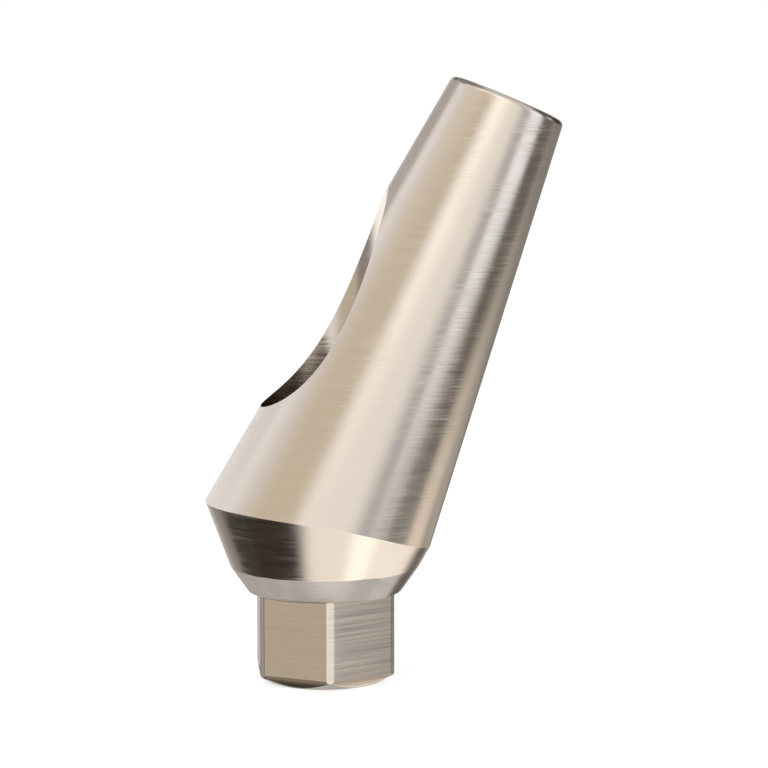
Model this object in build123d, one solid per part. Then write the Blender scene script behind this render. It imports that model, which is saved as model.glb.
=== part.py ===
from build123d import *
import os
from math import cos, radians, sin, tan

# An angled dental abutment, turned and milled from one bar of titanium.
# Millimetres. The origin is the centre of the hexagon's end face, +Z runs up the axis
# of the fixing screw, and the post leans toward +X.

# Hexagon that enters the implant
HEX_ACROSS_FLATS = 2.42
HEX_ACROSS_CORNERS = 2.72
HEX_LENGTH = 1.63
LEAD_LENGTH = 0.19
LEAD_ANGLE = 30.0
END_FACE_DIAMETER = 2.14
END_CHAMFER_ANGLE = 30.0

# Seat cone that closes on the implant's rim, its angle measured from the screw axis
SEAT_TOP_DIAMETER = 3.43
SEAT_HEIGHT = 0.46
SEAT_ANGLE = 35.0
FOOT_ROUNDING = 0.05

# Flare between seat and post, its slopes measured from the screw axis
FLARE_ANGLE_OUTER = 29.7
FLARE_ANGLE_INNER = 20.4
FLARE_ANGLE_SIDE = 17.0

# Conical post, its axis leaning about a point on the screw axis, its end cut a little flatter
POST_LEAN = 23.9
POST_PIVOT_HEIGHT = 3.01
POST_PIVOT_DIAMETER = 4.02
POST_TAPER = 6.5
POST_LENGTH = 8.18
POST_END_LEAN = 23.0
RIM_ROUNDING = 0.11
MARGIN_ROUNDING = 0.04

# Screw channel: wide above the seat of the screw's head, narrow through the hexagon
CHANNEL_DIAMETER = 2.30
SCREW_HOLE_DIAMETER = 1.90
HEAD_SEAT_HEIGHT = 2.10
HEAD_SEAT_ANGLE = 45.0

# How far cutting bodies run past what they cut
OVERRUN = 1.0

seat_top = HEX_LENGTH + SEAT_HEIGHT
lean = radians(POST_LEAN)
post_axis = Vector(sin(lean), 0, cos(lean))
post_pivot = Vector(0, 0, POST_PIVOT_HEIGHT)
post_end = post_pivot + post_axis * POST_LENGTH


def circle_at(height, diameter):
    """A level circle on the screw axis."""
    return Plane.XY.offset(height) * Circle(diameter / 2)


def turned(points):
    """A body turned about the screw axis from (radius, height) points."""
    outline = Polyline(*[(radius, 0, height) for radius, height in points], close=True)
    return revolve(make_face(outline), Axis.Z)


def connection_hexagon():
    """Hexagon with a lead-in taper on each flat, its corners turned and its end chamfered."""
    flat = HEX_ACROSS_FLATS / 2
    corner = HEX_ACROSS_CORNERS / 2
    end = END_FACE_DIAMETER / 2
    chamfer = (corner - end) * tan(radians(END_CHAMFER_ANGLE))
    end_flat = flat - LEAD_LENGTH * tan(radians(LEAD_ANGLE))
    wide = RegularPolygon(flat, 6, major_radius=False, rotation=30)
    narrow = RegularPolygon(end_flat, 6, major_radius=False, rotation=30)
    lead = loft([Plane.XY * narrow, Plane.XY.offset(LEAD_LENGTH) * wide], ruled=True)
    prism = extrude(Plane.XY.offset(LEAD_LENGTH) * wide, HEX_LENGTH - LEAD_LENGTH)
    envelope = turned([(0, 0), (end, 0), (corner, chamfer), (corner, HEX_LENGTH), (0, HEX_LENGTH)])
    return (lead + prism) & envelope


def seat_cone():
    """Cone that closes on the implant, with a rounded edge round its foot."""
    top = SEAT_TOP_DIAMETER / 2
    foot = top - SEAT_HEIGHT * tan(radians(SEAT_ANGLE))
    cone = turned([(0, HEX_LENGTH), (foot, HEX_LENGTH), (top, seat_top), (0, seat_top)])
    foot_edge = cone.edges().filter_by(GeomType.CIRCLE).sort_by(Axis.Z)[0]
    return fillet(foot_edge, FOOT_ROUNDING)


def flare():
    """Leaning flare on the seat's round top, carried up past the end of the post."""
    rise = post_end.Z + OVERRUN - seat_top
    base = SEAT_TOP_DIAMETER / 2
    outer = base + rise * tan(radians(FLARE_ANGLE_OUTER))
    inner = base + rise * tan(radians(FLARE_ANGLE_INNER))
    side = base + rise * tan(radians(FLARE_ANGLE_SIDE))
    centre = (outer - inner) / 2
    top = Plane((centre, 0, seat_top + rise)) * Ellipse((outer + inner) / 2, side)
    return loft([circle_at(seat_top, SEAT_TOP_DIAMETER), top], ruled=True)


def post_cone():
    """Leaning cone of the post, carried down past the flare's foot, its top rim rounded."""
    below = POST_PIVOT_HEIGHT - seat_top + SEAT_TOP_DIAMETER / 2 + OVERRUN
    above = POST_LENGTH + OVERRUN
    widening = tan(radians(POST_TAPER))
    bottom_radius = POST_PIVOT_DIAMETER / 2 + below * widening
    top_radius = POST_PIVOT_DIAMETER / 2 - above * widening
    base = Plane(post_pivot - post_axis * below, z_dir=post_axis)
    align = (Align.CENTER, Align.CENTER, Align.MIN)
    cone = base * Cone(bottom_radius, top_radius, below + above, align=align)
    end_lean = radians(POST_END_LEAN)
    end_plane = Plane(post_end, z_dir=(sin(end_lean), 0, cos(end_lean)))
    cut = split(cone, bisect_by=end_plane, keep=Keep.BOTTOM)
    rim = cut.faces().sort_by(Axis(post_pivot, post_axis))[-1].edges()
    return fillet(rim, RIM_ROUNDING)


def screw_channel():
    """Stepped hole on the screw axis, with a conical seat for the screw's head."""
    hole = SCREW_HOLE_DIAMETER / 2
    channel = CHANNEL_DIAMETER / 2
    seat_rise = (channel - hole) / tan(radians(HEAD_SEAT_ANGLE))
    above = post_end.Z + OVERRUN
    return turned([
        (0, -OVERRUN),
        (hole, -OVERRUN),
        (hole, HEAD_SEAT_HEIGHT),
        (channel, HEAD_SEAT_HEIGHT + seat_rise),
        (channel, above),
        (0, above),
    ])


def flared_post():
    """What flare and post share, with the edge where they meet rounded all the way round."""
    common = flare() & post_cone()
    flare_face = common.faces().filter_by(GeomType.BSPLINE)[0]
    margin = flare_face.edges().sort_by(Axis.Z)[-1]
    return fillet(margin, MARGIN_ROUNDING)


def abutment():
    """Hexagon, seat, flare and post as one piece, with the screw channel through it."""
    return connection_hexagon() + seat_cone() + flared_post() - screw_channel()


body = abutment()
body.label = "abutment_body"

os.makedirs("parts", exist_ok=True)
export_step(body, "parts/abutment_body.step")
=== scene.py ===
import math
import bmesh
import bpy
import numpy as np
from mathutils import Matrix


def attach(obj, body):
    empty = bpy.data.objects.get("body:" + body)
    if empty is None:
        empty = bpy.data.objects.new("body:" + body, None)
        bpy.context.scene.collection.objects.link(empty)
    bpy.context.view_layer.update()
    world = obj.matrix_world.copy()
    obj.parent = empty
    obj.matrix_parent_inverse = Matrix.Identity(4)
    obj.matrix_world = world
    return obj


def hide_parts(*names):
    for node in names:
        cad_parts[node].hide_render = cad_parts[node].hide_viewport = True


# An angled dental abutment in bare titanium: a hexagon that enters the implant, a seat
# cone, a leaning flare and a leaning conical post, with the screw channel breaking out
# through the post's flank. The finish follows the cutting tools, which leave level lines.

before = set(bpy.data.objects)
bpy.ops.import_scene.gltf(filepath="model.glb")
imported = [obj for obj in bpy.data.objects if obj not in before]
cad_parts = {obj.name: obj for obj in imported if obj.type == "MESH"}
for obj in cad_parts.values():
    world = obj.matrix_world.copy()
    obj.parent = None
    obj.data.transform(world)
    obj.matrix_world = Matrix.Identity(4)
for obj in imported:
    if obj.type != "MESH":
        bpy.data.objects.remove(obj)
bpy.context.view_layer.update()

# Sizes of the abutment in millimetres, as the solid has them: a slope is outward over upward,
# and the step is the angle in degrees from one flat of the hexagon to the next
FLAT_STEP = 60.0
HEX_FLAT = 1.21
HEX_CORNER = 1.36
HEX_TOP = 1.63
LEAD_LENGTH = 0.19
LEAD_SLOPE = math.tan(math.radians(30.0))
END_RADIUS = 1.07
END_SLOPE = 1 / math.tan(math.radians(30.0))
SEAT_RADIUS = 1.715
SEAT_HEIGHT = 0.46
SEAT_SLOPE = math.tan(math.radians(35.0))
SEAT_TOP = HEX_TOP + SEAT_HEIGHT
SEAT_FOOT = SEAT_RADIUS - SEAT_HEIGHT * SEAT_SLOPE
FLARE_OUTER = math.tan(math.radians(29.7))
FLARE_INNER = math.tan(math.radians(20.4))
FLARE_SIDE = math.tan(math.radians(17.0))
POST_LEAN = math.radians(23.9)
POST_PIVOT = np.array([0.0, 0.0, 3.01])
POST_RADIUS = 2.01
POST_TAPER = math.tan(math.radians(6.5))
POST_LENGTH = 8.18
POST_END_LEAN = math.radians(23.0)
CHANNEL_RADIUS = 1.15
HOLE_RADIUS = 0.95
HEAD_SEAT_LOW = 2.10
HEAD_SEAT_SLOPE = math.tan(math.radians(45.0))
HEAD_SEAT_HIGH = HEAD_SEAT_LOW + (CHANNEL_RADIUS - HOLE_RADIUS) / HEAD_SEAT_SLOPE

# Where the edges are eased, the length taken off each side of the corner
EASED_END = 0.012
EASED_LEAD_END = 0.014
EASED_LEAD = 0.034
EASED_ROOT = 0.002
EASED_FOOT = 0.026
EASED_SEAT = 0.014
EASED_MARGIN = 0.010
EASED_RIM = 0.100
EASED_MOUTH = 0.014
EASED_BORE = 0.020

# Rows of points on each bend, and how far from a bend the next row lies. The profiles below
# also say how many rows lie on the run that leads to each corner
BEND_ROWS = 6
HOLD = 0.020

# Radii on the end face at which the outside begins and the bore finishes
OUTSIDE_BEGINS = 1.00
BORE_FINISHES = 0.98

# Columns of points round the body, in degrees: the even step, where columns lie beside a
# vertical edge of the hexagon, and how near to those the even ones may come
COLUMN_STEP = 0.9
BESIDE_EDGE = (-0.9, -0.25, 0.25, 0.9)
COLUMN_GAP = 0.35

# The channel's mouth in the post's flank: its middle and half its length along the post, half
# its width as a turn about it, the part of the post that is laid anew round it, the rings
# there, which crowd toward the edge, and how many points of the edge they are fitted to
MOUTH_MIDDLE = 3.6
MOUTH_HALF_LENGTH = 2.6
MOUTH_HALF_TURN = 0.9
PATCH_LOW = 0.75
PATCH_HIGH = 6.45
PATCH_TURN = math.radians(60.0)
PATCH_RINGS = 12
PATCH_CROWDING = 1.5
MOUTH_SAMPLES = 721

# Finishes by their number on the mesh, and bends by their number along the outside, where the
# end face's edge is bend 0
OUTER, HEXAGON, BORE, END = 0, 1, 2, 3
AT_HEXAGON_TOP, AT_MARGIN, AT_RIM = 3, 6, 7

# A millimetre in metres, the least length divided by, and how close in metres two points are
# joined where sheets meet
MM = 0.001
TINY = 1e-12
WELD = 2e-8

FULL_TURN = 2 * math.pi
UPWARD = np.array([0.0, 0.0, 1.0])
LEVEL = np.array([0.0, 1.0, 0.0])
POST_AXIS = np.array([math.sin(POST_LEAN), 0.0, math.cos(POST_LEAN)])
POST_ACROSS = np.array([math.cos(POST_LEAN), 0.0, -math.sin(POST_LEAN)])
POST_END = POST_PIVOT + POST_LENGTH * POST_AXIS
END_NORMAL = np.array([math.sin(POST_END_LEAN), 0.0, math.cos(POST_END_LEAN)])


# Shape


def ring(radius, angle, height):
    """Points about the screw axis: x = r cos a, y = r sin a, z = h."""
    radius, angle, height = np.broadcast_arrays(radius, angle, height)
    return np.stack([radius * np.cos(angle), radius * np.sin(angle), height], axis=-1)


def on_post(along, turn):
    """Points on the leaning cone: pivot + s axis + (R - s tan taper)(cos t across + sin t level)."""
    along, turn = np.broadcast_arrays(along, turn)
    radius = POST_RADIUS - along * POST_TAPER
    across = np.cos(turn)[..., None] * POST_ACROSS + np.sin(turn)[..., None] * LEVEL
    return POST_PIVOT + along[..., None] * POST_AXIS + radius[..., None] * across


def post_place(points):
    """Distance along the post's axis and angle about it, the inverse of on_post."""
    offset = points - POST_PIVOT
    along = offset @ POST_AXIS
    return along, np.arctan2(offset @ LEVEL, offset @ POST_ACROSS) % FULL_TURN


def end_points(turn):
    """The post's end edge: along = (L a.n - R u.n) / (a.n - tan(taper) u.n), with a the
    post's axis, u the direction across it at this turn and n the end face's normal."""
    sideways = np.cos(turn) * (POST_ACROSS @ END_NORMAL)
    forward = POST_AXIS @ END_NORMAL
    along = (POST_LENGTH * forward - POST_RADIUS * sideways) / (forward - POST_TAPER * sideways)
    return on_post(along, turn)


def meeting_the_post(foot, rise):
    """Where the lines foot + h rise, measured from the pivot, leave the post's cone.

    h is the larger root of the quadratic |W|^2 = s^2 + (R - s tan taper)^2, with W the
    line's point and s = W . axis.
    """
    s_foot = foot @ POST_AXIS
    s_rise = rise @ POST_AXIS
    widen = 1 + POST_TAPER ** 2
    a = (rise * rise).sum(-1) - widen * s_rise ** 2
    b = 2 * ((foot * rise).sum(-1) - widen * s_foot * s_rise + POST_RADIUS * POST_TAPER * s_rise)
    c = (foot * foot).sum(-1) - widen * s_foot ** 2 + 2 * POST_RADIUS * POST_TAPER * s_foot
    c = c - POST_RADIUS ** 2
    height = (-b + np.sqrt(b * b - 4 * a * c)) / (2 * a)
    return POST_PIVOT + foot + height[:, None] * rise


def margin_points(angle):
    """Where each straight line of the flare meets the post. A line starts on the seat's top and
    goes out, for each unit upward, as far as the flare's leaning ellipse does at its angle."""
    foot = ring(SEAT_RADIUS, angle, SEAT_TOP) - POST_PIVOT
    middle = (FLARE_OUTER - FLARE_INNER) / 2
    spread = (FLARE_OUTER + FLARE_INNER) / 2
    outward = [middle + spread * np.cos(angle), FLARE_SIDE * np.sin(angle), np.ones_like(angle)]
    return meeting_the_post(foot, np.stack(outward, axis=-1))


def flank_points(radius, angle):
    """Where a vertical line at (r, a) leaves the post's upper flank."""
    return meeting_the_post(ring(radius, angle, 0.0), UPWARD)


def unit(vectors):
    """Vectors divided by their length, and the length."""
    length = np.linalg.norm(vectors, axis=-1, keepdims=True)
    return vectors / np.maximum(length, TINY), length


def fitted(cut, other_cut, length):
    """The cut at one end of a run, or its share of the length where both ends' cuts would meet."""
    return np.minimum(cut, length * cut / max(cut + other_cut, TINY))


def carried(profile):
    """Rows of points along a profile of straight runs whose inner corners are eased.

    The profile lists each corner, its cut and the number of rows on the run that leads to it.
    A run is A + t (B - A). A corner C becomes (1-t)^2 P + 2t(1-t) C + t^2 Q, where P and Q
    lie on the runs beside it at the cut's distance. Rows also lie close to each bend, so
    that the shading of the run stays its own. Returns the rows, the first and last row of
    each bend, and 1 for the rows of a bend and 0 for the rest.
    """
    corners, cuts, counts = zip(*profile)
    rows, bends, eased = [corners[0]], [], [0.0]
    start = corners[0]
    for i in range(1, len(corners)):
        way, length = unit(corners[i] - corners[i - 1])
        end = corners[i] - way * fitted(cuts[i], cuts[i - 1], length)
        _, left = unit(end - start)
        hold = way * np.minimum(HOLD, left / 4)
        for t in np.linspace(0, 1, counts[i]):
            rows.append((1 - t) * (start + hold) + t * (end - hold))
            eased.append(0.0)
        if i == len(corners) - 1:
            break
        onward, reach = unit(corners[i + 1] - corners[i])
        start = corners[i] + onward * fitted(cuts[i], cuts[i + 1], reach)
        bends.append((len(rows), len(rows) + BEND_ROWS - 1))
        for t in np.linspace(0, 1, BEND_ROWS):
            rows.append((1 - t) ** 2 * end + 2 * t * (1 - t) * corners[i] + t * t * start)
            eased.append(1.0)
    rows.append(corners[-1])
    eased.append(0.0)
    return np.stack(rows), bends, np.array(eased)


def body_angles():
    """Even angles about the axis, with pairs set close at each vertical edge of the hexagon."""
    even = np.radians(np.arange(0, 360, COLUMN_STEP))
    edge = math.acos(HEX_FLAT / HEX_CORNER)
    near = np.radians(BESIDE_EDGE)
    flats = np.radians(np.arange(0, 360, FLAT_STEP))
    extra = (flats[:, None] + np.concatenate([edge + near, near - edge])).ravel() % FULL_TURN
    gap = np.abs((even[:, None] - extra[None, :] + math.pi) % FULL_TURN - math.pi)
    kept = even[gap.min(axis=1) > math.radians(COLUMN_GAP)]
    return np.sort(np.concatenate([kept, extra]))


def hexagon_corners(angle):
    """The hexagon's profile at each angle: end face, chamfer's top, lead's top and root.

    With d the angle from the nearest flat, the radius at height z is the least of the end
    cone, the lead's flat over cos d, the flat over cos d, and the turned corner.
    """
    step = math.radians(FLAT_STEP)
    cosine = np.cos((angle + step / 2) % step - step / 2)
    end_flat = HEX_FLAT - LEAD_LENGTH * LEAD_SLOPE
    cone_top = (HEX_CORNER - END_RADIUS) / END_SLOPE
    low = np.minimum((end_flat / cosine - END_RADIUS) / (END_SLOPE - LEAD_SLOPE / cosine), cone_top)
    cornered = (HEX_CORNER * cosine - end_flat) / LEAD_SLOPE
    high = np.where(HEX_FLAT / cosine < HEX_CORNER, LEAD_LENGTH, np.maximum(low, cornered))
    wide = np.minimum(HEX_FLAT / cosine, HEX_CORNER)
    return [
        ring(END_RADIUS, angle, 0.0),
        ring(END_RADIUS + END_SLOPE * low, angle, low),
        ring(wide, angle, high),
        ring(wide, angle, HEX_TOP),
    ]


def outside(angle):
    """The whole outside at each angle: hexagon, seat cone, flare, post and the post's end face."""
    end, chamfer_top, lead_top, root = hexagon_corners(angle)
    margin = margin_points(angle)
    _, turn = post_place(margin)
    return carried([
        (ring(OUTSIDE_BEGINS, angle, 0.0), 0, 0),
        (end, EASED_END, 2),
        (chamfer_top, EASED_LEAD_END, 3),
        (lead_top, EASED_LEAD, 5),
        (root, EASED_ROOT, 12),
        (ring(SEAT_FOOT, angle, HEX_TOP), EASED_FOOT, 2),
        (ring(SEAT_RADIUS, angle, SEAT_TOP), EASED_SEAT, 6),
        (margin, EASED_MARGIN, 12),
        (end_points(turn), EASED_RIM, 50),
        (np.broadcast_to(POST_END, margin.shape), 0, 12),
    ])


def bore(edge, angle):
    """From the mouth's edge down the channel, the head's seat and the screw hole to the end face."""
    return carried([
        (edge, 0, 0),
        (flank_points(CHANNEL_RADIUS, angle), EASED_MOUTH, 2),
        (ring(CHANNEL_RADIUS, angle, HEAD_SEAT_HIGH), EASED_BORE, 30),
        (ring(HOLE_RADIUS, angle, HEAD_SEAT_LOW), EASED_BORE, 4),
        (ring(HOLE_RADIUS, angle, 0.0), EASED_END, 12),
        (ring(BORE_FINISHES, angle, 0.0), 0, 2),
    ])


def grid_faces(rows, columns, closed=True):
    """Quads between the rows of a grid of points, whose last column meets the first when closed."""
    row, column = np.indices((rows - 1, columns if closed else columns - 1))
    here = row * columns + column
    beside = row * columns + (column + 1) % columns
    return np.stack([here, beside, beside + columns, here + columns], axis=-1)


class Skin:
    """Points and faces of one mesh, gathered sheet by sheet."""

    def __init__(self):
        self.points, self.eased, self.faces, self.kinds = [], [], [], []
        self.count = 0

    def add_faces(self, faces, kind):
        """Adds faces that share a finish."""
        self.faces += faces.tolist()
        self.kinds += [kind] * len(faces)

    def sheet(self, points, eased, kinds, hole=None):
        """Quads between the rows of a closed tube of points, with a finish for each strip, and
        the hole, as (rows, columns), left open. Gives the number of the first point."""
        first = self.count
        self.points.append(points.reshape(-1, 3))
        self.eased.append(np.repeat(eased, points.shape[1]))
        self.count += len(self.points[-1])
        faces = grid_faces(*points.shape[:2]) + first
        row, column = np.indices(faces.shape[:2])
        covered = np.ones(faces.shape[:2], bool)
        if hole is not None:
            (low, high), (left, right) = hole
            covered = ~((row >= low) & (row < high) & (column >= left) & (column < right))
        for kind in np.unique(kinds).tolist():
            self.add_faces(faces[covered & (kinds == kind)[:, None]], kind)
        return first

    def band(self, ring_a, ring_b, angle_a, angle_b, kind):
        """Triangles between two rings of unlike counts, each edge joined to the point of the other
        ring that lies beside its middle."""
        middle_a = (angle_a + np.append(angle_a[1:], angle_a[0] + FULL_TURN)) / 2
        middle_b = (angle_b + np.append(angle_b[1:], angle_b[0] + FULL_TURN)) / 2
        beside_a = ring_b[np.searchsorted(middle_b, middle_a) % len(ring_b)]
        beside_b = ring_a[np.searchsorted(middle_a, middle_b) % len(ring_a)]
        self.add_faces(np.stack([ring_a, np.roll(ring_a, -1), beside_a], axis=-1), kind)
        self.add_faces(np.stack([ring_b, np.roll(ring_b, -1), beside_b], axis=-1), kind)

    def finished(self, name, materials):
        """The mesh in metres, its seams and poles closed and its faces turned outwards."""
        mesh = bpy.data.meshes.new(name)
        mesh.from_pydata(np.concatenate(self.points) * MM, [], self.faces)
        edge = mesh.attributes.new("edge", "FLOAT", "POINT")
        edge.data.foreach_set("value", np.concatenate(self.eased).astype(np.float32))
        mesh.polygons.foreach_set("material_index", self.kinds)
        for material in materials:
            mesh.materials.append(material)
        work = bmesh.new()
        work.from_mesh(mesh)
        bmesh.ops.remove_doubles(work, verts=work.verts, dist=WELD)
        bmesh.ops.recalc_face_normals(work, faces=work.faces)
        work.to_mesh(mesh)
        work.free()
        mesh.shade_smooth()
        return in_scene(bpy.data.objects.new(name, mesh))


def in_scene(thing):
    """Links an object to the scene and gives it back."""
    bpy.context.scene.collection.objects.link(thing)
    return thing


def patch_border(rows, columns):
    """Row and column numbers once round the border of a patch of the grid."""
    across = np.arange(*columns)
    up = np.arange(*rows)
    border_rows = [np.full(len(across), rows[0]), up, np.full(len(across), rows[1]), up[::-1] + 1]
    border_columns = [across, np.full(len(up), columns[1]), across[::-1] + 1, np.full(len(up), columns[0])]
    return np.concatenate(border_rows), np.concatenate(border_columns)


def bearing(along, turn):
    """Direction from the middle of the channel's mouth, over the unrolled flank."""
    return np.arctan2((math.pi - turn) / MOUTH_HALF_TURN, (along - MOUTH_MIDDLE) / MOUTH_HALF_LENGTH)


def mouth_patch(along, turn, post_rows, middle):
    """Rows and columns of the outside that the mouth's rings replace."""
    low = post_rows[np.argmin(np.abs(along[post_rows, middle] - PATCH_LOW))]
    high = post_rows[np.argmin(np.abs(along[post_rows, middle] - PATCH_HIGH))]
    inside = np.flatnonzero(np.abs(turn[low] - math.pi) < PATCH_TURN)
    return (int(low), int(high)), (int(inside[0]), int(inside[-1]))


def mouth_rings(border):
    """Rings from the patch's border to just outside the channel's edge, and their angles.

    Each border point is joined to the edge's point that lies in the same direction from the
    mouth's middle. The rings stand at 1 - (1 - t)^crowding of the way, in length along the
    post and turn about it.
    """
    along, turn = post_place(border)
    held = CHANNEL_RADIUS + EASED_MOUTH / 2 + HOLD
    sweep = np.linspace(-math.pi, math.pi, MOUTH_SAMPLES)
    edge_bearing = np.unwrap(bearing(*post_place(flank_points(held, sweep))))
    angle = np.interp(bearing(along, turn), edge_bearing, sweep, period=FULL_TURN)
    order = np.argsort(angle)
    angle, along, turn = angle[order], along[order], turn[order]
    edge_along, edge_turn = post_place(flank_points(held, angle))
    part = 1 - (1 - np.linspace(0, 1, PATCH_RINGS)[1:, None]) ** PATCH_CROWDING
    between = on_post(along + (edge_along - along) * part, turn + (edge_turn - turn) * part)
    return np.concatenate([border[order][None], between]), angle


def abutment_skin():
    """The abutment's surface: the outside carried round the screw axis, the mouth's rings, the
    bore carried round from the mouth's edge, and a band that closes the hexagon's end face."""
    skin = Skin()
    angle = body_angles()
    rows, bends, eased = outside(angle)
    along, turn = post_place(rows)
    post_rows = np.arange(bends[AT_MARGIN][1], bends[AT_RIM][0])
    patch = mouth_patch(along, turn, post_rows, np.argmin(np.abs(angle - math.pi)))
    kinds = np.where(np.arange(len(rows) - 1) <= bends[AT_HEXAGON_TOP][1], HEXAGON, OUTER)
    kinds[bends[AT_RIM][1]:] = END
    outside_first = skin.sheet(rows, eased, kinds, patch)

    rings, mouth_angle = mouth_rings(rows[patch_border(*patch)])
    skin.sheet(rings, np.zeros(len(rings)), np.full(len(rings) - 1, OUTER))

    bore_rows, bore_bends, bore_eased = bore(rings[-1], mouth_angle)
    bore_kinds = np.where(np.arange(len(bore_rows) - 1) < bore_bends[0][1], OUTER, BORE)
    bore_first = skin.sheet(bore_rows, bore_eased, bore_kinds)

    bore_last = bore_first + (len(bore_rows) - 1) * len(mouth_angle)
    around = mouth_angle % FULL_TURN
    order = np.argsort(around)
    skin.band(outside_first + np.arange(len(angle)), bore_last + order, angle, around[order], HEXAGON)
    return skin


# Finishes


METAL_COLOUR = (0.84, 0.76, 0.68)
BORED_COLOUR = (0.82, 0.75, 0.69)

# The tool lines: fine noise, broad noise and the part of it, the clouds, the cloud levels between
# which lines fade, and the millimetres toward the lean over which they come to full strength
FINE_NOISE = {"Scale": 1.0, "Detail": 2.0, "Roughness": 0.6}
BROAD_NOISE = {"Scale": 0.31, "Detail": 1.0, "Roughness": 0.5}
BROAD_PART = 0.35
CLOUD_NOISE = {"Scale": 0.9, "Detail": 2.0, "Roughness": 0.5}
FADE = (0.38, 0.62)
TOWARD_LEAN = (-0.1, 0.3)

# How far from 0 the lines' tone counts, the brightness that a rubbed edge gains, the heights in
# metres over which the channel's painted shade fades out, the cloud levels over which handling
# changes the gloss and by how much it does, and a bump's unit in metres
TONE_REACH = 0.3
RUBBED = 0.04
PAINTED_SHADE_HEIGHTS = (0.0053, 0.0062)
HANDLING = (0.3, 0.7)
HANDLED = 0.03
BUMP_UNIT = 1e-6


def set_inputs(tree, node, inputs):
    """Links each input to the socket given for it, or sets it to the value given."""
    for name, value in inputs.items():
        if isinstance(value, bpy.types.NodeSocket):
            tree.links.new(value, node.inputs[name])
        else:
            node.inputs[name].default_value = value


def add_node(tree, kind, inputs=None, **settings):
    """A shader node with its properties set, and its inputs linked or given values."""
    node = tree.nodes.new(kind)
    for name, value in settings.items():
        setattr(node, name, value)
    set_inputs(tree, node, inputs or {})
    return node


def number(tree, operation, *values, **settings):
    """The result of one operation on numbers."""
    inputs = dict(enumerate(values))
    return add_node(tree, "ShaderNodeMath", inputs, operation=operation, **settings).outputs[0]


def vector(tree, operation, *values):
    """The result of one operation on vectors."""
    inputs = dict(enumerate(values))
    return add_node(tree, "ShaderNodeVectorMath", inputs, operation=operation).outputs[0]


def scaled(tree, value, scale):
    """A vector times a number."""
    inputs = {0: value, "Scale": scale}
    return add_node(tree, "ShaderNodeVectorMath", inputs, operation="SCALE").outputs[0]


def moved(tree, value, source, low, high, **settings):
    """A value carried from its source range to the range from low to high, and held within it."""
    inputs = {"Value": value, "From Min": source[0], "From Max": source[1], "To Min": low, "To Max": high}
    return add_node(tree, "ShaderNodeMapRange", inputs, **settings).outputs[0]


def noise(tree, place, grain):
    """Soft noise from 0 to 1 of a given grain."""
    return add_node(tree, "ShaderNodeTexNoise", {"Vector": place, **grain}).outputs["Fac"]


def tool_lines_group():
    """Level lines left by turning and milling, with slow clouds of handling over them.

    Tone is fine noise mixed with broad noise, both stretched along the lines, less one half,
    times the fading in the clouds and away from the lean. Height is tone times depth.
    """
    group = bpy.data.node_groups.new("tool_lines", "ShaderNodeTree")
    face = group.interface
    for name, kind, value in (
        ("Position", "NodeSocketVector", (0, 0, 0)),
        ("Line Pitch", "NodeSocketFloat", 0.03),
        ("Line Length", "NodeSocketFloat", 1.0),
        ("Depth", "NodeSocketFloat", 1.0),
        ("Patchiness", "NodeSocketFloat", 0.5),
        ("Away From Lean", "NodeSocketFloat", 1.0),
    ):
        socket = face.new_socket(name=name, in_out="INPUT", socket_type=kind)
        socket.default_value = value
    for name in ("Height", "Tone", "Cloud"):
        face.new_socket(name=name, in_out="OUTPUT", socket_type="NodeSocketFloat")
    given = add_node(group, "NodeGroupInput").outputs

    millimetres = scaled(group, given["Position"], 1 / MM)
    along = number(group, "DIVIDE", 1.0, given["Line Length"])
    across = number(group, "DIVIDE", 1.0, given["Line Pitch"])
    stretch = add_node(group, "ShaderNodeCombineXYZ", {"X": along, "Y": along, "Z": across}).outputs[0]
    stretched = vector(group, "MULTIPLY", millimetres, stretch)
    fine = noise(group, stretched, FINE_NOISE)
    broad = noise(group, stretched, BROAD_NOISE)
    lines = add_node(group, "ShaderNodeMix", {"Factor": BROAD_PART, 2: fine, 3: broad}, data_type="FLOAT")

    cloud = noise(group, millimetres, CLOUD_NOISE)
    least = number(group, "SUBTRACT", 1.0, given["Patchiness"])
    in_clouds = moved(group, cloud, FADE, least, 1.0, interpolation_type="SMOOTHSTEP")
    place = add_node(group, "ShaderNodeSeparateXYZ", {0: millimetres})
    away = given["Away From Lean"]
    by_lean = moved(group, place.outputs["X"], TOWARD_LEAN, away, 1.0, interpolation_type="SMOOTHSTEP")
    strength = number(group, "MULTIPLY", in_clouds, by_lean)
    tone = number(group, "MULTIPLY", number(group, "SUBTRACT", lines.outputs[0], 0.5), strength)
    height = number(group, "MULTIPLY", tone, given["Depth"])
    add_node(group, "NodeGroupOutput", {"Height": height, "Tone": tone, "Cloud": cloud})
    return group


def around_the_end(tree, position):
    """Place on the post's end face: across it both ways, and outward from its middle as height."""
    offset = vector(tree, "SUBTRACT", position, POST_END * MM)
    turned_level = {"Vector": offset, "Angle": -POST_END_LEAN}
    level = add_node(tree, "ShaderNodeVectorRotate", turned_level, rotation_type="Y_AXIS").outputs[0]
    flat = vector(tree, "MULTIPLY", level, (1.0, 1.0, 0.0))
    outward = add_node(tree, "ShaderNodeVectorMath", {0: flat}, operation="LENGTH").outputs["Value"]
    height = add_node(tree, "ShaderNodeCombineXYZ", {"Z": outward}).outputs[0]
    return vector(tree, "ADD", flat, height)


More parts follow.
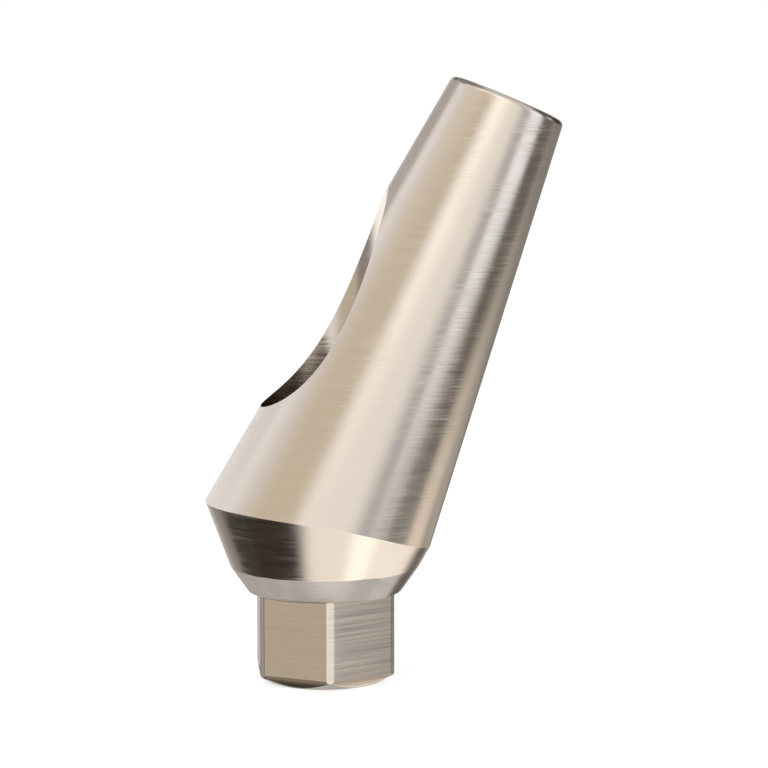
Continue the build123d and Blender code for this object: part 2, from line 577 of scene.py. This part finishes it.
def titanium(name, lines, *, roughness, pitch, length, depth, patchiness, contrast, gloss_by_line,
             colour=METAL_COLOUR, away=1.0, painted_shade_low=1.0, placed=None):
    """Bare titanium: tool lines in height, colour and gloss, and edges rubbed brighter.

    The colour is scaled by 1 - contrast to 1 + contrast with the lines' tone, plus a little on
    eased edges, times a painted shade that darkens it low down and is 1 above PAINTED_SHADE_HEIGHTS.
    Roughness is its own value, moved a little by the clouds, plus the tone times gloss_by_line.
    """
    material = bpy.data.materials.new(name)
    material.use_nodes = True
    tree = material.node_tree
    spot = add_node(tree, "ShaderNodeTexCoord").outputs["Object"]
    marks = add_node(tree, "ShaderNodeGroup", node_tree=lines)
    set_inputs(tree, marks, {
        "Position": placed(tree, spot) if placed else spot,
        "Line Pitch": pitch,
        "Line Length": length,
        "Depth": depth,
        "Patchiness": patchiness,
        "Away From Lean": away,
    })

    tone = marks.outputs["Tone"]
    lined = moved(tree, tone, (-TONE_REACH, TONE_REACH), 1 - contrast, 1 + contrast)
    edge = add_node(tree, "ShaderNodeAttribute", attribute_name="edge").outputs["Fac"]
    rubbed = number(tree, "MULTIPLY_ADD", edge, RUBBED, lined)
    height = add_node(tree, "ShaderNodeSeparateXYZ", {0: spot}).outputs["Z"]
    # Painted shade: the colour is darkened low down and is its own again above PAINTED_SHADE_HEIGHTS
    shade = moved(tree, height, PAINTED_SHADE_HEIGHTS, painted_shade_low, 1.0, interpolation_type="SMOOTHSTEP")
    handled = moved(tree, marks.outputs["Cloud"], HANDLING, roughness - HANDLED, roughness + HANDLED)
    bump = {"Strength": 1.0, "Distance": BUMP_UNIT, "Height": marks.outputs["Height"]}
    set_inputs(tree, tree.nodes["Principled BSDF"], {
        "Metallic": 1.0,
        "Base Color": scaled(tree, colour, number(tree, "MULTIPLY", rubbed, shade)),
        "Roughness": number(tree, "MULTIPLY_ADD", tone, gloss_by_line, handled, use_clamp=True),
        "Normal": add_node(tree, "ShaderNodeBump", bump).outputs["Normal"],
    })
    return material


lines = tool_lines_group()
turned = titanium(
    "turned_titanium",
    lines,
    roughness=0.20,
    pitch=0.032,
    length=0.6,
    depth=2.1,
    patchiness=0.7,
    contrast=0.035,
    gloss_by_line=0.65,
)
milled = titanium(
    "milled_titanium",
    lines,
    roughness=0.16,
    pitch=0.033,
    length=2.2,
    depth=3.0,
    patchiness=0.3,
    contrast=0.50,
    gloss_by_line=0.3,
    away=0.15,
)
# The bore carries painted shade: its colour is darker low down in the channel
bored = titanium(
    "bored_titanium",
    lines,
    colour=BORED_COLOUR,
    roughness=0.22,
    pitch=0.05,
    length=1.6,
    depth=4.0,
    patchiness=0.3,
    contrast=0.10,
    gloss_by_line=0.3,
    painted_shade_low=0.78,
)
faced = titanium(
    "faced_titanium",
    lines,
    roughness=0.27,
    pitch=0.035,
    length=0.7,
    depth=2.5,
    patchiness=0.4,
    contrast=0.08,
    gloss_by_line=0.5,
    placed=around_the_end,
)

abutment = abutment_skin().finished("abutment", [turned, milled, bored, faced])
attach(abutment, "root")
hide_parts("abutment_body")

# Camera at the photograph's angle: its turn about the object and rise over it, in millimetres
# how far it stands off, what it aims at to the right of the origin and above, its lens and
# sensor, and in metres how near and far it sees
VIEW_TURN = math.radians(5.098)
VIEW_RISE = math.radians(6.537)
VIEW_DISTANCE = 49.267
AIM_RIGHT = 1.0740
AIM_UP = 5.3425
LENS = 126.5625
SENSOR_WIDTH = 36.0
NEAREST = 0.001
FARTHEST = 10.0


def placing(right, up, back, place):
    """The matrix whose columns are an object's three axes and its place."""
    matrix = np.eye(4)
    matrix[:3] = np.stack([right, up, back, place], axis=1)
    return Matrix(matrix.tolist())


def photo_camera():
    """The camera, looking along VIEW_TURN and down by VIEW_RISE."""
    right = np.array([math.cos(VIEW_TURN), -math.sin(VIEW_TURN), 0.0])
    ahead = np.array([math.sin(VIEW_TURN), math.cos(VIEW_TURN), 0.0])
    up = math.sin(VIEW_RISE) * ahead + math.cos(VIEW_RISE) * UPWARD
    forward = math.cos(VIEW_RISE) * ahead - math.sin(VIEW_RISE) * UPWARD
    eye = right * AIM_RIGHT + up * AIM_UP - forward * VIEW_DISTANCE
    data = bpy.data.cameras.new("camera")
    data.lens = LENS
    data.sensor_width = SENSOR_WIDTH
    data.clip_start = NEAREST
    data.clip_end = FARTHEST
    camera = in_scene(bpy.data.objects.new("camera", data))
    camera.matrix_world = placing(right, up, -forward, eye * MM)
    return camera


bpy.context.scene.camera = photo_camera()

# Studio: a white room with grey, warm and dark cards in it, which the metal mirrors. Each
# card: its left and right edge in azimuth, 0 at the camera's side and growing to the image's
# right, its bottom and top edge in elevation, each with the width of its feather in degrees,
# and then its brightness in red, green and blue
CARDS = {
    "floor_white": ((-48, 20), (125, 20), (-95, 4), (-29, 12), (0.98, 0.93, 0.87)),
    "floor_white_right": ((66, 16), (125, 20), (-95, 4), (-31, 12), (1.09, 1.03, 0.97)),
    "left_wall": ((-182, 4), (-98, 24), (-12, 8), (95, 4), (0.88, 0.87, 0.88)),
    "left_wall_grey": ((-98, 24), (-60, 20), (-12, 8), (95, 4), (0.74, 0.72, 0.71)),
    "warm_card": ((-74, 32), (-18, 20), (-10, 8), (95, 4), (0.635, 0.565, 0.46)),
    "front_wall": ((-20, 18), (42, 14), (-20, 8), (95, 4), (0.91, 0.89, 0.86)),
    "key_lamp": ((-13, 14), (13, 16), (16, 12), (95, 4), (1.25, 1.20, 1.13)),
    "left_high": ((-92, 20), (-40, 30), (36, 10), (95, 4), (0.77, 0.72, 0.65)),
    "rear_left_flag": ((-182, 4), (-135, 12), (15.5, 8), (95, 4), (0.44, 0.42, 0.42)),
    "rear_left_flag_low": ((-182, 4), (-146, 10), (11, 8), (95, 4), (0.45, 0.43, 0.43)),
    "rear_left_flag_top": ((-182, 4), (-120, 18), (21, 9), (95, 4), (0.44, 0.42, 0.42)),
    "rear_left_mid": ((-182, 4), (-152, 12), (27, 6), (50, 8), (0.22, 0.22, 0.21)),
    "rim_left_dark": ((-167, 8), (-148, 8), (24, 5), (34, 6), (0.04, 0.04, 0.04)),
    "rear_left_flag_side": ((-182, 4), (-153, 10), (7.5, 6), (20, 8), (0.49, 0.47, 0.47)),
    "rear_left_flag_end": ((-182, 4), (-166, 10), (4, 8), (20, 8), (0.50, 0.48, 0.48)),
    "right_grey": ((35, 20), (51, 10), (-25, 10), (95, 4), (0.44, 0.44, 0.46)),
    "right_strip": ((57, 10), (80, 10), (-13, 5), (95, 4), (1.00, 1.06, 1.15)),
    "strip_high": ((45, 16), (90, 12), (14, 14), (95, 4), (0.66, 0.65, 0.72)),
    "right_warm": ((93, 18), (182, 4), (-34, 8), (-6, 6), (0.90, 0.81, 0.71)),
    "right_dark": ((79, 12), (101, 14), (-25, 11), (95, 4), (0.135, 0.125, 0.115)),
    "right_dark_rear": ((99, 14), (182, 4), (-19, 14), (95, 4), (0.25, 0.24, 0.22)),
    "right_dark_level": ((90, 10), (111, 12), (-18, 8), (95, 4), (0.145, 0.135, 0.125)),
    "rear_right_high": ((88, 12), (182, 4), (36, 8), (95, 4), (0.48, 0.47, 0.50)),
    "rim_right_dark": ((91, 8), (137, 14), (7, 6), (40, 6), (0.09, 0.09, 0.095)),
    "rim_right_darker": ((114, 8), (147, 12), (-5, 6), (17, 6), (0.03, 0.03, 0.03)),
    "rim_right_glint": ((95, 8), (107, 7), (-3, 6), (7, 5), (0.85, 0.84, 0.86)),
    "rear_light": ((168, 8), (182, 4), (-1, 4), (16, 10), (0.98, 0.95, 0.93)),
    "right_low_grey": ((50, 10), (76, 8), (-29, 10), (-12, 6), (0.48, 0.47, 0.45)),
    "right_low_dark": ((70, 12), (84, 8), (-27, 8), (-13, 6), (0.22, 0.205, 0.19)),
    "warm_low": ((-100, 20), (-24, 20), (-24, 8), (-4, 8), (0.51, 0.45, 0.37)),
    "hexagon_edge": ((-104, 4), (-66, 6), (-18, 4), (-9, 4), (0.08, 0.07, 0.065)),
    "left_low": ((-182, 4), (-104, 20), (-35, 8), (-8, 6), (0.31, 0.29, 0.28)),
    "left_low_rear": ((-182, 4), (-146, 8), (-35, 6), (-20, 6), (0.46, 0.44, 0.42)),
    "left_low_end": ((-182, 4), (-145, 14), (-18, 6), (-8, 6), (0.66, 0.61, 0.57)),
    "mouth_bright": ((-150, 10), (-104, 12), (-7, 4), (3, 6), (1.25, 1.20, 1.14)),
    "mouth_dark": ((-93, 12), (-62, 12), (-15, 6), (6, 8), (0.27, 0.25, 0.24)),
    "rear_light_left": ((-182, 4), (-170, 6), (0, 4), (12, 8), (0.98, 0.95, 0.93)),
    "left_end_grey": ((-182, 4), (-166, 10), (-16, 6), (-1, 4), (0.52, 0.50, 0.49)),
    "dark_flag": ((-127, 20), (-90, 16), (-47, 8), (-24, 10), (0.052, 0.047, 0.043)),
    "dark_flag_front": ((-98, 16), (-27, 22), (-59, 8), (-24, 10), (0.037, 0.031, 0.027)),
    "cream_lamp": ((29, 18), (60, 18), (-58, 8), (-28, 10), (1.36, 1.32, 1.24)),
    "rear_right_low": ((131.5, 22), (182, 4), (-41, 12), (-20, 8), (0.14, 0.13, 0.12)),
    "low_grey": ((-182, 4), (182, 4), (-95, 4), (-63, 14), (0.71, 0.71, 0.72)),
    "low_grey_left": ((-182, 4), (-52, 50), (-95, 4), (-62, 10), (0.48, 0.48, 0.485)),
    "low_grey_far_left": ((-182, 4), (-98, 16), (-95, 4), (-47, 8), (0.47, 0.47, 0.475)),
    "low_grey_rear_left": ((-182, 4), (-128, 16), (-95, 4), (-34, 8), (0.42, 0.42, 0.44)),
    "low_grey_right": ((76, 16), (118, 16), (-95, 4), (-51, 8), (0.51, 0.51, 0.51)),
    "low_grey_rear_right": ((116, 12), (182, 4), (-95, 4), (-42, 8), (0.59, 0.59, 0.59)),
    "low_grey_rear_end": ((128, 14), (182, 4), (-95, 4), (-39, 8), (0.58, 0.58, 0.58)),
    "overhead": ((-182, 4), (182, 4), (52, 14), (95, 4), (0.58, 0.57, 0.57)),
    "high_front": ((-66, 14), (-6, 10), (43, 8), (60, 6), (1.02, 0.98, 0.92)),
    "rear_left_high": ((-182, 4), (-106, 12), (38, 8), (82, 8), (0.22, 0.22, 0.21)),
    "rear_left_higher": ((-182, 4), (-80, 12), (52, 6), (82, 8), (0.20, 0.20, 0.19)),
    "rear_left_top": ((-182, 4), (-48, 14), (62, 6), (82, 8), (0.22, 0.22, 0.21)),
}
ROOM_RADIUS = 0.25
ROOM_MIDDLE = np.array([0.001, 0.0, 0.005])
ROOM_ELEVATIONS = np.arange(-90, 91, 1.0)
ROOM_AZIMUTHS = np.arange(-180, 180, 1.0)

# The foot card lies level with the hexagon's end face and past it on all sides. It is dark
# where the left lead mirrors it and tan where the right lead does, with one colour for a lead's
# foot and one for its top, light for the line along the right lead's foot, grey for the chamfer
# and dark across the screw hole, a painted shade for the hole closed off below
FOOT_HEIGHT = 0.0005
FOOT_LEFT = (0.055, 0.047, 0.040)
FOOT_LEFT_TOP = (0.22, 0.19, 0.15)
FOOT_RIGHT = (0.67, 0.60, 0.54)
FOOT_RIGHT_TOP = (0.42, 0.37, 0.33)
FOOT_LINE = (1.15, 1.08, 1.00)
FOOT_END = (0.47, 0.46, 0.47)
FOOT_HOLE_SHADE = (0.055, 0.05, 0.045)

# On the foot card in millimetres: the radius at which the grey ends at a flat and how much
# wider it is at a corner, the light line's width, how far past the grey a lead's top begins and
# over what width, the edge of the hole, and the width of all other feathers
RING_END = 1.105
RING_WIDER = 0.19
LINE_WIDTH = 0.035
LEAD_TOP = 0.11
LEAD_TOP_FEATHER = 0.10
HOLE_EDGE = 0.98
RING_FEATHER = 0.02
FOOT_RADII = np.concatenate([(0.0, 0.97), np.arange(0.99, 1.42, 0.01), (1.70,)])
FOOT_ANGLES = np.arange(-180, 180, 2.0)

# The right lead's range of angles about the screw axis in degrees, each end with its feather
RIGHT_FROM = (-90, 6)
RIGHT_TO = (60, 60)

# A flag card stands close beside the hexagon's right flat, which mirrors it and not the room:
# its direction from the flat, half its width, its foot and top and how far each stands off, and
# its brightness at either side
FLAG_AZIMUTH = math.radians(70.0)
FLAG_HALF = 0.62
FLAG_LOW = -0.3
FLAG_HIGH = 1.60
FLAG_AWAY_LOW = 1.5
FLAG_AWAY_HIGH = 0.65
FLAG_LEFT = (0.49, 0.475, 0.465)
FLAG_RIGHT = (0.385, 0.375, 0.36)
FLAG_ROWS = 5
FLAG_COLUMNS = 9
RIGHT_FLAT = math.radians(-FLAT_STEP)


def soft_step(edge, feather, value):
    """0 below the edge, 1 above it, with 3t^2 - 2t^3 across the feather."""
    t = np.clip((value - edge) / feather + 0.5, 0, 1)
    return t * t * (3 - 2 * t)


def blended(low, high, part):
    """A colour between two: low + part (high - low)."""
    return np.array(low) + part[..., None] * (np.array(high) - low)


def toward(azimuth, elevation):
    """Directions in the studio, azimuth 0 lying behind the camera and growing to the image's right."""
    facing = VIEW_TURN - azimuth
    level = np.cos(elevation)
    return np.stack([-np.sin(facing) * level, -np.cos(facing) * level, np.sin(elevation)], axis=-1)


def room_paint(azimuth, elevation):
    """Brightness of the room in each direction: white, with every card laid over it in turn."""
    colour = np.ones(azimuth.shape + (3,))
    for left, right, bottom, top, shade in CARDS.values():
        cover = soft_step(*left, azimuth) * (1 - soft_step(*right, azimuth))
        cover = cover * soft_step(*bottom, elevation) * (1 - soft_step(*top, elevation))
        colour = blended(colour, shade, cover)
    return colour


def foot_paint(radius, angle):
    """Colour on the foot card at a radius in millimetres and an angle in degrees. The ring ends
    at end + wider (1 - d / half)^2, with d the angle from the nearest corner."""
    half = FLAT_STEP / 2
    from_corner = np.abs(angle % FLAT_STEP - half)
    past_ring = radius - RING_END - RING_WIDER * (1 - from_corner / half) ** 2
    beyond = soft_step(0, RING_FEATHER, past_ring)
    line = beyond * (1 - soft_step(LINE_WIDTH, RING_FEATHER, past_ring))
    right_side = soft_step(*RIGHT_FROM, angle) * (1 - soft_step(*RIGHT_TO, angle))
    upper = soft_step(LEAD_TOP, LEAD_TOP_FEATHER, past_ring)
    left_lead = blended(FOOT_LEFT, FOOT_LEFT_TOP, upper)
    right_lead = blended(FOOT_RIGHT, FOOT_RIGHT_TOP, upper)
    lead = blended(left_lead, right_lead, right_side)
    colour = blended(blended(FOOT_END, lead, beyond), FOOT_LINE, line * right_side)
    # Across the screw hole the card is dark: painted shade for the closed hole
    return blended(FOOT_HOLE_SHADE, colour, soft_step(HOLE_EDGE, RING_FEATHER, radius))


def glowing_paint():
    """A material that glows in the colours of the mesh's own attribute."""
    material = bpy.data.materials.new("studio_cards")
    material.use_nodes = True
    tree = material.node_tree
    tree.nodes.clear()
    paint = add_node(tree, "ShaderNodeAttribute", attribute_name="paint").outputs["Vector"]
    emission = add_node(tree, "ShaderNodeEmission", {"Color": paint}).outputs[0]
    add_node(tree, "ShaderNodeOutputMaterial", {"Surface": emission})
    return material


def painted_sheet(name, points, colours, material, closed=True):
    """A sheet of the studio in metres that only reflections see, with a colour at each point."""
    mesh = bpy.data.meshes.new(name)
    faces = grid_faces(*points.shape[:2], closed).reshape(-1, 4)
    mesh.from_pydata(points.reshape(-1, 3), [], faces.tolist())
    paint = mesh.attributes.new("paint", "FLOAT_VECTOR", "POINT")
    paint.data.foreach_set("vector", colours.reshape(-1).astype(np.float32))
    mesh.materials.append(material)
    sheet = in_scene(bpy.data.objects.new(name, mesh))
    sheet.visible_camera = False
    sheet.visible_diffuse = False
    sheet.visible_shadow = False
    sheet.visible_transmission = False
    return sheet


def studio_room(material):
    """The room: a globe round the object, painted by direction."""
    elevation, azimuth = np.meshgrid(ROOM_ELEVATIONS, ROOM_AZIMUTHS, indexing="ij")
    wall = ROOM_MIDDLE + ROOM_RADIUS * toward(np.radians(azimuth), np.radians(elevation))
    return painted_sheet("studio_room", wall, room_paint(azimuth, elevation), material)


def card_under_the_foot(material):
    """The foot card: a level disc, painted by place."""
    radius, angle = np.meshgrid(FOOT_RADII, FOOT_ANGLES, indexing="ij")
    disc = ring(radius, np.radians(angle), FOOT_HEIGHT) * MM
    return painted_sheet("foot_card", disc, foot_paint(radius, angle), material)


def card_beside_the_flat(material):
    """The flag card: middle of the flat + away x direction + across x side + height x up, the
    distance away falling evenly from its foot to its top."""
    up_steps = np.linspace(0, 1, FLAG_ROWS)
    side_steps = np.linspace(0, 1, FLAG_COLUMNS)
    up_part, side_part = np.meshgrid(up_steps, side_steps, indexing="ij")
    way = toward(FLAG_AZIMUTH, 0.0)
    side = np.cross(UPWARD, way)
    away = FLAG_AWAY_LOW + up_part * (FLAG_AWAY_HIGH - FLAG_AWAY_LOW)
    height = FLAG_LOW + up_part * (FLAG_HIGH - FLAG_LOW)
    across = FLAG_HALF * (2 * side_part - 1)
    card = ring(HEX_FLAT, RIGHT_FLAT, 0.0) + away[..., None] * way + across[..., None] * side
    card = card + height[..., None] * UPWARD
    colours = blended(FLAG_LEFT, FLAG_RIGHT, side_part)
    return painted_sheet("flag_card", card * MM, colours, material, closed=False)


# Floor and light: sizes in metres, the floor's own glow to the camera, and the room's light
WHITE = (1, 1, 1, 1)
FLOOR_HALF = 0.6
FLOOR_GAP = 2e-6
FLOOR_COLOUR = (0.8, 0.8, 0.8, 1)
FLOOR_GLOW = 0.62
LAMP_AIM = np.array([0.001, 0.0, 0.004])
ROOM_LIGHT = 0.5


def pale_floor():
    """Floor that takes the object's soft shadow, pale and brought to white for the camera."""
    corners = np.array([[-1, -1, 0], [1, -1, 0], [1, 1, 0], [-1, 1, 0]]) * FLOOR_HALF
    mesh = bpy.data.meshes.new("floor")
    mesh.from_pydata(corners - FLOOR_GAP * UPWARD, [], [[0, 1, 2, 3]])
    material = bpy.data.materials.new("pale_floor")
    material.use_nodes = True
    tree = material.node_tree
    seen = add_node(tree, "ShaderNodeLightPath").outputs["Is Camera Ray"]
    set_inputs(tree, tree.nodes["Principled BSDF"], {
        "Base Color": FLOOR_COLOUR,
        "Roughness": 0.9,
        "Specular IOR Level": 0.0,
        "Emission Color": WHITE,
        "Emission Strength": number(tree, "MULTIPLY", seen, FLOOR_GLOW),
    })
    mesh.materials.append(material)
    ground = in_scene(bpy.data.objects.new("floor", mesh))
    ground.visible_glossy = False
    return ground


def lamp(name, place, size, power):
    """A square soft lamp that faces the object."""
    data = bpy.data.lights.new(name, "AREA")
    data.size = size
    data.energy = power
    light = in_scene(bpy.data.objects.new(name, data))
    back, _ = unit(np.array(place) - LAMP_AIM)
    side, _ = unit(np.cross(UPWARD, back))
    light.matrix_world = placing(side, np.cross(back, side), back, place)
    light.visible_glossy = False


def white_backdrop():
    """White to the camera, to reflections and through glass, and plain soft light for the rest."""
    world = bpy.data.worlds.new("white_room")
    world.use_nodes = True
    tree = world.node_tree
    ray = add_node(tree, "ShaderNodeLightPath").outputs
    seen = number(tree, "MAXIMUM", ray["Is Camera Ray"], ray["Is Glossy Ray"])
    seen = number(tree, "MAXIMUM", seen, ray["Is Transmission Ray"])
    strength = moved(tree, seen, (0.0, 1.0), ROOM_LIGHT, 1.0)
    set_inputs(tree, tree.nodes["Background"], {"Color": WHITE, "Strength": strength})
    return world


glow = glowing_paint()
room = studio_room(glow)
foot_card = card_under_the_foot(glow)
flag_card = card_beside_the_flat(glow)
floor = pale_floor()
lamp("key", place=(-0.10, -0.12, 0.16), size=0.10, power=0.10)
lamp("fill", place=(0.14, -0.08, 0.12), size=0.12, power=0.05)
bpy.context.scene.world = white_backdrop()
bpy.context.scene.view_settings.view_transform = "Standard"
